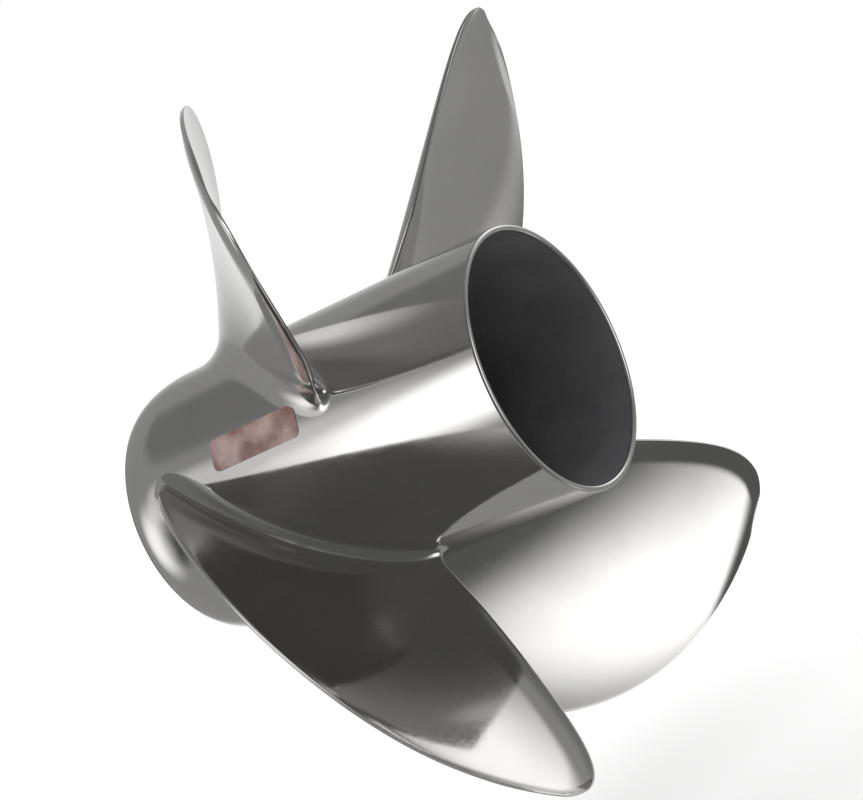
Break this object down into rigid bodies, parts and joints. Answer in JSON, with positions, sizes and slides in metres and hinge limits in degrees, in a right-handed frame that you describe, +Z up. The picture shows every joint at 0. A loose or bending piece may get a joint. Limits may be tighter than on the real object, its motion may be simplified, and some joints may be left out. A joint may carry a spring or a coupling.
{
  "type": "boat propeller",
  "caption": "Stainless through-hub-exhaust boat propeller with skewed, raked and cupped blades round a tubular hub, and a cushioned splined drive with its nut and washers.",
  "frame": {"origin": "on the shaft axis inside the thrust washer's bore, 16 mm aft of the barrel's front face", "axes": "+Y forward along the shaft, so aft is -Y; +Z up; +X starboard; blade tips at 45 degrees to the axes"},
  "size_m": [0.3152, 0.19, 0.3152],
  "materials": {
    "barrel_steel": "mirror-polished stainless steel",
    "blade_steel": "mirror-polished stainless steel",
    "cast_steel": "as-cast stainless steel, blasted",
    "black_plastic": "moulded acetal",
    "label_film": "plain printed film, no lettering",
    "brass": "machined brass",
    "bronze": "machined bronze",
    "rubber": "moulded rubber",
    "washer_steel": "stamped stainless sheet",
    "nut_steel": "turned stainless steel",
    "blue_nylon": "nylon locking ring"
  },
  "bodies": {
    "drive": {"thrust_washer": "bronze", "spline_sleeve": "brass", "rubber_bush": "rubber", "aft_adapter": "bronze", "continuity_washer": "washer_steel", "tab_washer": "washer_steel", "prop_nut": "nut_steel", "nut_insert": "blue_nylon"},
    "propeller": {"barrel": "barrel_steel", "inner_hub": "cast_steel", "drive_sleeve": "black_plastic", "label": "label_film", "rib_1": "cast_steel", "rib_2": "cast_steel", "rib_3": "cast_steel", "rib_4": "cast_steel", "blade_1": "blade_steel", "blade_2": "blade_steel", "blade_3": "blade_steel", "blade_4": "blade_steel"}
  },
  "joints": [
    {"name": "hub_twist", "type": "hinge", "parent": "drive", "child": "propeller", "pos_m": [0, 0, 0], "axis": [0, 1, 0], "range_deg": [-8, 8], "stiffness_Nm_per_rad": 2500}
  ]
}
